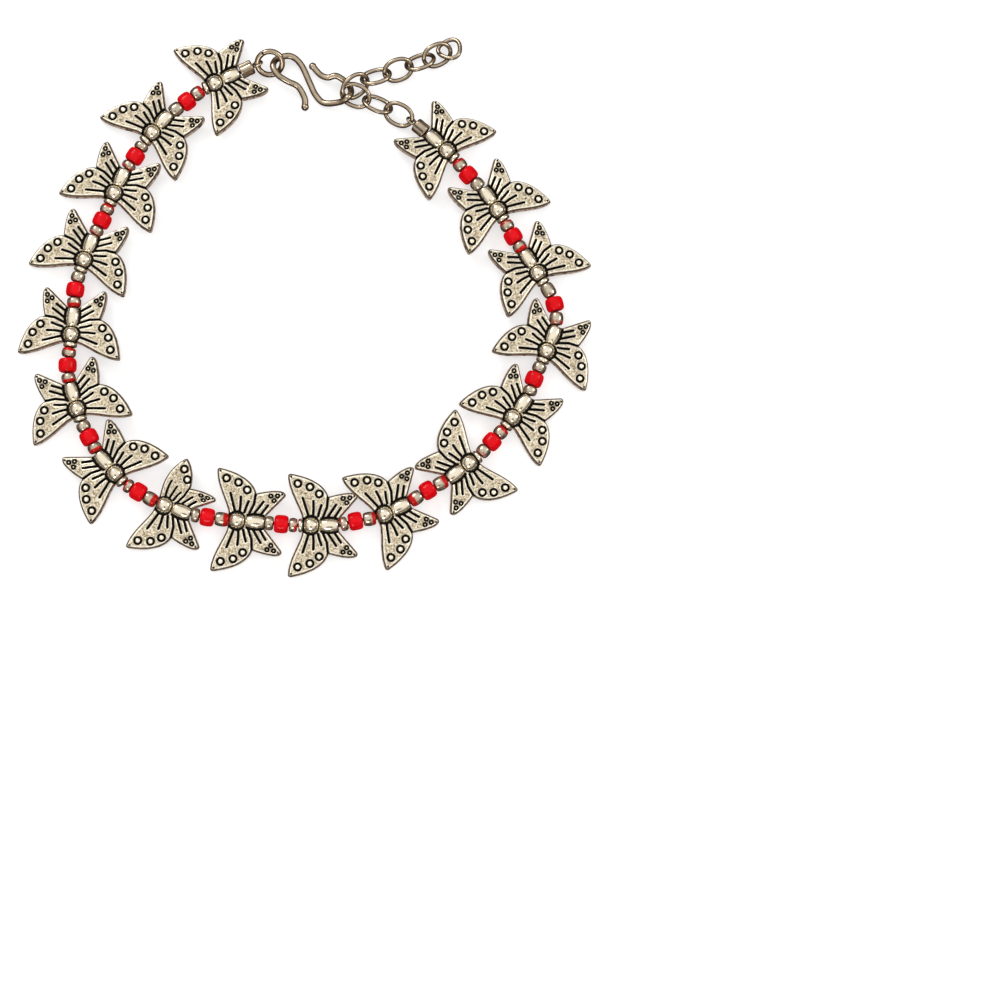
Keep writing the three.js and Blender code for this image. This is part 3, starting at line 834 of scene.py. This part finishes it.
def spacer_material():
    """Warm grey metal with a red lacquer patch where the tint says, and painted shade on its flat ends and
    bore.
    """
    material, tree, shader = new_material("spacer_metal")
    blotch = noise_node(tree, 1.3, 3)
    metal = ramp_node(tree, blotch, [(0.3, (0.42, 0.36, 0.27)), (0.7, (0.62, 0.55, 0.44))])
    tint = attribute_node(tree, "tint")
    oxide = attribute_node(tree, "oxide")
    uneven = math_node(tree, "SUBTRACT", blotch, 0.5)
    broken = math_node(tree, "ADD", tint, math_node(tree, "MULTIPLY", uneven, 0.9))
    red = range_node(tree, broken, 0.35, 0.6, 0, 1)
    lacquered = mix_node(tree, red, metal, RED_LACQUER)
    # Painted shade: the flat ends and bore turn near-black.
    colour = mix_node(tree, oxide, lacquered, GAP_SHADE_BLACK)
    tree.links.new(colour, shader.inputs["Base Color"])
    lacquer_and_shade = math_node(tree, "MAXIMUM", oxide, red)
    tree.links.new(range_node(tree, lacquer_and_shade, 0, 1, 0.95, 0.3), shader.inputs["Metallic"])
    shader.inputs["Specular IOR Level"].default_value = 0.2
    tree.links.new(range_node(tree, blotch, 0, 1, 0.14, 0.3), shader.inputs["Roughness"])
    tree.links.new(bump_node(tree, noise_node(tree, 2.4, 2), 0.3, 0.05), shader.inputs["Normal"])
    return material


def clasp_material():
    """Polished wire of warm nickel with faint drawing marks."""
    material, tree, shader = new_material("clasp_metal")
    blotch = noise_node(tree, 0.7, 3)
    metal = ramp_node(tree, blotch, [(0.3, (0.36, 0.285, 0.205)), (0.7, (0.5, 0.41, 0.3))])
    oxide = attribute_node(tree, "oxide")
    # Dark seams and crease, and painted shade in the caps' bores.
    colour = mix_node(tree, oxide, metal, DARK_SEAM_AND_BORE_SHADE)
    tree.links.new(colour, shader.inputs["Base Color"])
    tree.links.new(range_node(tree, oxide, 0, 1, 0.98, 0.4), shader.inputs["Metallic"])
    tree.links.new(range_node(tree, blotch, 0, 1, 0.16, 0.3), shader.inputs["Roughness"])
    tree.links.new(bump_node(tree, noise_node(tree, 0.9, 2), 0.3, 0.05), shader.inputs["Normal"])
    return material


def thread_material():
    """Dark red waxed thread."""
    material, tree, shader = new_material("thread")
    fibres = noise_node(tree, 4.0, 3)
    colour = ramp_node(tree, fibres, [(0.3, (0.03, 0.006, 0.005)), (0.7, (0.12, 0.016, 0.012))])
    tree.links.new(colour, shader.inputs["Base Color"])
    shader.inputs["Roughness"].default_value = 0.7
    tree.links.new(bump_node(tree, fibres, 0.6, 0.08), shader.inputs["Normal"])
    return material


def floor_material():
    """Plain pale table top."""
    material, tree, shader = new_material("table_top")
    cloud = noise_node(tree, 0.01, 2)
    colour = ramp_node(tree, cloud, [(0.3, (0.48, 0.48, 0.48)), (0.7, (0.5, 0.5, 0.5))])
    tree.links.new(colour, shader.inputs["Base Color"])
    shader.inputs["Roughness"].default_value = 0.7
    shader.inputs["Emission Color"].default_value = (1, 1, 1, 1)
    shader.inputs["Emission Strength"].default_value = 0.6
    return material


CHARM_SILVER = charm_material()
RED_GLASS = red_glass_material()
SPACER_METAL = spacer_material()
CLASP_METAL = clasp_material()
THREAD = thread_material()


# Charms along the string

def charm_place(name, tail):
    """A charm's thorax centre, found from the CAD node's forewing tip, wing tips and height."""
    points = node_points(name)
    forward = flat(tail)
    side = flat(tail + 90)
    along = points @ forward
    across = points @ side
    tip_reach = -WING_CURVES[0][2][0] * WING_LENGTH
    x = along.min() + tip_reach
    y = (across.min() + across.max()) / 2
    z = (points[:, 2].min() + points[:, 2].max()) / 2
    return forward * x + side * y + np.array([0, 0, z])


def make_charms():
    """The charms as pieces. Returns the places that the beads need."""
    roll = math.degrees(math.asin((THORAX_DIA / 2 - WING_THICKNESS / 2) / (WING_SPAN / 2)))
    plates = {bent: wing_plate(bent) for bent in (False, True)}
    places = []
    for index, row in enumerate(CHARM_ROWS, 1):
        name = f"butterfly_{index:02d}"
        tailward = flat(row["tail"])
        thorax = charm_place(name, row["tail"])
        inner_side = -1 if row["tail_first"] else 1
        shell = Shell()
        master = charm_shell(plates[row["bent"]], row["collar"])
        shell.include(master, lambda points: placed(points, thorax, tailward, inner_side * roll))
        make_piece(f"charm_{index:02d}", shell, CHARM_SILVER, [name])
        tail_end = thorax + tailward * TAIL_REACH
        head_end = thorax - tailward * (HEAD_REACH if row["collar"] else NECK_REACH)
        entry, leave = (tail_end, head_end) if row["tail_first"] else (head_end, tail_end)
        places.append({"entry": entry, "exit": leave, "tailward": tailward, "bow": row["bow"]})
    return places


def bead_shell():
    """A short pressed-glass tube with well rounded shoulders."""
    half = RED_BEAD_LENGTH / 2
    rim = RED_BEAD_DIA / 2
    hole = BEAD_HOLE_DIA / 2
    stations = [(-half + 0.5, hole), (-half + BEAD_LIP, hole)]
    for turn in np.linspace(0, math.pi, 29):
        lengthwise = -math.cos(turn)
        outward = math.sin(turn)
        x = half * np.sign(lengthwise) * abs(lengthwise) ** 0.68
        radius = hole + BEAD_LIP + (rim - hole - BEAD_LIP) * outward ** 0.5
        stations.append((x, radius))
    stations += [(half - BEAD_LIP, hole), (half - 0.5, hole)]
    shell = Shell()
    points, faces = turned([(x, radius, radius) for x, radius in stations], 48)
    shell.add(points, faces)
    return shell


def spacer_shell(half, tint):
    """A rondelle. The tint lies on the side that faces the charm, at -X."""
    hole = BEAD_HOLE_DIA / 2
    end = SPACER_END * SPACER_DIA / 2
    stations = [(-half + 0.3, hole * 0.8), (-half, hole), (-half, end)]
    for turn in np.linspace(0, math.pi, 21)[1:-1]:
        radius = end + (SPACER_DIA / 2 - end) * math.sin(turn) ** 0.75
        stations.append((-half * math.cos(turn), radius))
    stations += [(half, end), (half, hole), (half - 0.3, hole * 0.8)]
    points, faces = turned([(x, radius, radius) for x, radius in stations], 40)
    shell = Shell()
    radii = np.linalg.norm(points[:, 1:], axis=1)
    # The flat ends and the bore get painted shade, near-black, for the gaps beside them.
    oxide = 1 - smoothstep(end * 0.95, end * 1.2, radii)
    patch = smoothstep(0.25 * half, -0.7 * half, points[:, 0]) * tint
    shell.add(points, faces, oxide=oxide, tint=patch)
    return shell


def make_string(places):
    """The beads and spacers between the charms. Returns the points that the thread runs through."""
    spacers = Shell()
    route = [places[0]["entry"]]
    bead = bead_shell()
    for index, (before, after) in enumerate(zip(places[:-1], places[1:])):
        start = before["exit"]
        end = after["entry"]
        along = unit(end - start)
        node = f"red_bead_{index + 1:02d}"
        middle = node_middle(node)
        shell = Shell()
        shell.include(bead, lambda points: placed(points, middle, along))
        make_piece(node.replace("red", "glass"), shell, RED_GLASS, [node])
        ends = [middle - along * RED_BEAD_LENGTH / 2, middle + along * RED_BEAD_LENGTH / 2]
        facings = [(start, ends[0], before["tailward"]), (end, ends[1], after["tailward"])]
        for (charm_end, bead_end, charm_facing), tint in zip(facings, SPACER_TINTS[index]):
            run = unit(bead_end - charm_end)
            end_radius = SPACER_END * SPACER_DIA / 2
            charm_gap = GAP + end_radius * np.linalg.norm(np.cross(charm_facing, run))
            bead_gap = GAP + end_radius * np.linalg.norm(np.cross(along, run))
            half = (np.linalg.norm(bead_end - charm_end) - charm_gap - bead_gap) / 2
            place = charm_end + run * (charm_gap + half)
            spacers.include(spacer_shell(half, tint), lambda points: placed(points, place, run))
        route += [start, *ends, end]
    route.append(places[-1]["exit"])
    make_piece("spacers", spacers, SPACER_METAL, ["string"])
    return route


# Clasp and chain

def oval_route(length, width, wire, steps):
    """The middle line of an oval of wire in the XY plane, between an ellipse and a racetrack."""
    turns = np.linspace(0, 2 * math.pi, steps, endpoint=False)
    across = (width - wire) / 2 * np.sin(turns)
    curve = (width - wire) / 2
    stretch = (length - width) / 2
    ellipse = (curve + stretch) * np.cos(turns)
    racetrack = curve * np.cos(turns) + stretch * np.clip(3 * np.cos(turns), -1, 1)
    return np.column_stack([0.65 * ellipse + 0.35 * racetrack, across, np.zeros(steps)])


def wire_piece(name, route, wire, middle, turn, node):
    """A closed wire ring or link with its butt seam."""
    points, faces = tube(route, wire, 20, closed=True)
    seam = np.abs(points[:, 0] - route[0][0])
    near = (seam < 0.05) & (np.sign(points[:, 1]) == np.sign(route[0][1]))
    shell = Shell()
    shell.add(placed(points, middle, flat(turn[0]), turn[1]), faces, oxide=near * 0.8)
    make_piece(name, shell, CLASP_METAL, [node])


def make_chain():
    """The links, and the last ring, whose middle is found from its CAD node's box."""
    route = oval_route(LINK_LENGTH, LINK_WIDTH, LINK_WIRE, 64)
    for index, turn in enumerate(LINK_TURNS, 1):
        node = f"chain_link_{index}"
        wire_piece(f"link_{index}", route, LINK_WIRE, node_middle(node), turn, node)
    turns = np.linspace(0, 2 * math.pi, 72, endpoint=False)
    radius = (END_RING_DIA - LINK_WIRE) / 2 * (1 + END_RING_CORNERS * np.cos(3 * (turns - math.pi / 6)))
    corners = np.column_stack([radius * np.cos(turns), radius * np.sin(turns), np.zeros(len(turns))])
    last = node_points("end_ring")
    heading, lean = END_RING_TURN
    own = placed(tube(corners, LINK_WIRE, 20, closed=True)[0], (0, 0, 0), flat(heading), lean)
    middle = (last.min(axis=0) + last.max(axis=0) - own.min(axis=0) - own.max(axis=0)) / 2
    wire_piece("last_ring", corners, LINK_WIRE, middle, END_RING_TURN, "end_ring")


def make_jump_ring():
    """A round ring of wire, with the fine slit where it closes."""
    radius = (RING_INNER_DIA + RING_WIRE) / 2
    slit = 0.035
    turns = np.linspace(slit, 2 * math.pi - slit, 90) + math.radians(118)
    route = np.column_stack([radius * np.cos(turns), radius * np.sin(turns), np.zeros(len(turns))])
    points, faces = tube(route, RING_WIRE, 24, closed=False)
    shell = Shell()
    ends = np.zeros(len(points))
    ends[:24] = 1
    ends[-24:] = 1
    middle = node_middle("jump_ring")
    shell.add(placed(points, middle, flat(RING_HEADING), RING_LEAN), faces, oxide=ends)
    make_piece("closing_ring", shell, CLASP_METAL, ["jump_ring"])
    return middle


def make_hook(ring_middle):
    """The S-shaped hook, with a ball at each end."""
    shift = ring_middle - np.array(RING_MIDDLE)
    route = smooth_route(HOOK_ROUTE, 14) + shift
    shell = Shell()
    points, faces = tube(route, HOOK_WIRE, 24, closed=False)
    shell.add(points, faces)
    turns = np.linspace(0.02, math.pi - 0.02, 17)
    radius = HOOK_BALL / 2
    ball = [(-radius * math.cos(turn), radius * math.sin(turn), radius * math.sin(turn)) for turn in turns]
    for end, inner in ((route[0], route[3]), (route[-1], route[-4])):
        points, faces = turned(ball, 28)
        shell.add(placed(points, end, end - inner), faces)
    make_piece("hook", shell, CLASP_METAL, ["s_hook"])


def cap_shell(loop_lean):
    """A folded barrel cap from its mouth at the origin to its loop, along X."""
    rim = CAP_DIA / 2
    hole = BEAD_HOLE_DIA / 2
    shape = [(0.0, 0.86), (0.02, 0.94), (0.1, 0.99), (0.2, 1.0), (0.5, 0.97), (0.8, 1.0), (0.9, 0.98),
             (0.97, 0.88), (1.0, 0.7), (1.0, 0.02)]
    stations = [(0.9, hole * 0.8), (0.05, hole)]
    stations += [(share * CAP_LENGTH, radius * rim) for share, radius in shape]
    sides = 48
    points, faces = turned([(x, radius, radius) for x, radius in stations], sides)
    turns = np.arctan2(points[:, 2], points[:, 1])
    crease = np.exp(-((turns - 1.05) / 0.13) ** 2)
    flats = 0.05 * np.cos(5 * turns)
    x = points[:, 0]
    middle_share = smoothstep(0, 0.25, x) * smoothstep(CAP_LENGTH, CAP_LENGTH - 0.3, x)
    inset = 1 - (0.16 * crease + 0.03 + flats * 0.6) * middle_share
    points[:, 1:] *= inset[:, None]
    oxide = crease * middle_share
    # The bore inside the mouth is painted dark, painted shade in the hole.
    oxide[:2 * sides] = 1
    shell = Shell()
    shell.add(points, faces, oxide=oxide)
    loop_radius = (LOOP_HOLE + LOOP_WIRE) / 2
    turns = np.linspace(0, 2 * math.pi, 48, endpoint=False)
    ring = np.column_stack([loop_radius * np.cos(turns), loop_radius * np.sin(turns), np.zeros(48)])
    points, faces = tube(ring, LOOP_WIRE, 14, closed=True)
    shell.add(placed(points, (CAP_LENGTH + loop_radius, 0, 0), (1, 0, 0), loop_lean), faces, oxide=0.0)
    return shell


def make_caps(places, ring_middle):
    """Each cap lies between its loop and the charm beside it. Returns where the thread ends in each."""
    cap_reach = CAP_LENGTH + (LOOP_HOLE + LOOP_WIRE) / 2
    left_loop = ring_middle - flat(RING_HEADING) * (RING_INNER_DIA + RING_WIRE) / 2
    heading = flat(LINK_TURNS[0][0])
    link_reach = (LINK_LENGTH - LINK_WIRE) / 2
    right_loop = node_middle("chain_link_1") - heading * link_reach
    ends = []
    rows = [("end_cap_left", left_loop, places[0]["entry"], LEFT_LOOP_LEAN),
            ("end_cap_right", right_loop, places[-1]["exit"], RIGHT_LOOP_LEAN)]
    for node, loop, charm_end, lean in rows:
        along = unit(loop - charm_end)
        mouth = loop - along * cap_reach
        shell = Shell()
        shell.include(cap_shell(lean), lambda points: placed(points, mouth, along))
        make_piece(node.replace("end_cap", "cap"), shell, CLASP_METAL, [node])
        ends.append(mouth + along * THREAD_IN_CAP)
    return ends


def make_thread(route, cap_ends):
    """The thread from cap to cap, seen in the gaps between the beads."""
    points = [cap_ends[0], *route, cap_ends[1]]
    dense = []
    for start, end in zip(points[:-1], points[1:]):
        dense += [start + (end - start) * share for share in (0, 1 / 3, 2 / 3)]
    dense.append(points[-1])
    shell = Shell()
    tube_points, faces = tube(np.array(dense), THREAD_DIA, 12, closed=False)
    shell.add(tube_points, faces)
    make_piece("thread", shell, THREAD, ["string"])


charm_places = make_charms()
string_route = make_string(charm_places)
jump_ring_middle = make_jump_ring()
make_hook(jump_ring_middle)
make_chain()
cap_threads = make_caps(charm_places, jump_ring_middle)
make_thread(string_route, cap_threads)


# Floor, light and camera

# Lengths in metres, powers in watts.
FLOOR_REACH = 8.0
SOFTBOXES = [
    ("key", (-0.35, 0.55, 0.5), (0.3, 0.3), 2.2),
    ("fill", (0.65, 0.1, 0.45), (0.25, 0.25), 1.2),
    ("front", (-0.1, -0.7, 0.4), (0.3, 0.2), 1.2),
]
VIEWER_DIRECTION = (0.05, -0.5, 0.86)
VIEWER_TONE = (0.05, 0.04, 0.03, 1)


def make_floor():
    mesh = bpy.data.meshes.new("floor")
    corners = [(x * FLOOR_REACH, y * FLOOR_REACH, 0) for x, y in ((-1, -1), (1, -1), (1, 1), (-1, 1))]
    mesh.from_pydata(corners, [], [(0, 1, 2, 3)])
    mesh.materials.append(floor_material())
    floor = bpy.data.objects.new("floor", mesh)
    bpy.context.scene.collection.objects.link(floor)
    floor.visible_glossy = False


def aim(thing, place, target, up=(0, 1, 0)):
    """Stands a light or camera at a place, in metres, looking at the target."""
    back = (Vector(place) - Vector(target)).normalized()
    right = Vector(up).cross(back).normalized()
    upward = back.cross(right)
    turn = Matrix((right, upward, back)).transposed().to_4x4()
    thing.matrix_world = Matrix.Translation(place) @ turn


def add_softbox(name, place, size, power):
    data = bpy.data.lights.new(name, "AREA")
    data.shape = "RECTANGLE"
    data.size, data.size_y = size
    data.energy = power
    light = bpy.data.objects.new(name, data)
    bpy.context.scene.collection.objects.link(light)
    aim(light, place, (0, 0, 0))


def make_world():
    """A pale ceiling over a darker room, with a dark patch on the near side, for the metal to mirror."""
    world = bpy.data.worlds.new("room")
    world.use_nodes = True
    tree = world.node_tree
    background = tree.nodes["Background"]
    place = add_node(tree, "ShaderNodeTexCoord")
    height = add_node(tree, "ShaderNodeSeparateXYZ")
    tree.links.new(place.outputs["Generated"], height.inputs[0])
    room = ramp_node(tree, height.outputs["Z"], [(0.0, (0.05, 0.035, 0.025)), (0.35, (0.26, 0.22, 0.185)),
                                                 (0.75, (0.8, 0.79, 0.77)), (1.0, (0.9, 0.9, 0.89))])
    viewer = add_node(tree, "ShaderNodeVectorMath", operation="DOT_PRODUCT")
    viewer.inputs[1].default_value = Vector(VIEWER_DIRECTION).normalized()
    tree.links.new(place.outputs["Generated"], viewer.inputs[0])
    patch = range_node(tree, viewer.outputs["Value"], 0.955, 0.985, 0, 0.9)
    colour = mix_node(tree, patch, room, VIEWER_TONE)
    tree.links.new(colour, background.inputs["Color"])
    background.inputs["Strength"].default_value = 1.3
    bpy.context.scene.world = world


def make_camera():
    data = bpy.data.cameras.new("camera")
    data.lens = CAMERA_LENS
    data.sensor_fit = "HORIZONTAL"
    data.sensor_width = CAMERA_SENSOR
    data.clip_start = 0.01
    data.clip_end = 10
    camera = bpy.data.objects.new("camera", data)
    bpy.context.scene.collection.objects.link(camera)
    roll = math.radians(CAMERA_ROLL)
    upright = (math.sin(roll), math.cos(roll), 0)
    aim(camera, Vector(CAMERA_PLACE) * MM, Vector(CAMERA_TARGET) * MM, upright)
    bpy.context.scene.camera = camera


make_floor()
make_world()
for softbox in SOFTBOXES:
    add_softbox(*softbox)
make_camera()
bpy.context.scene.view_settings.view_transform = "Standard"
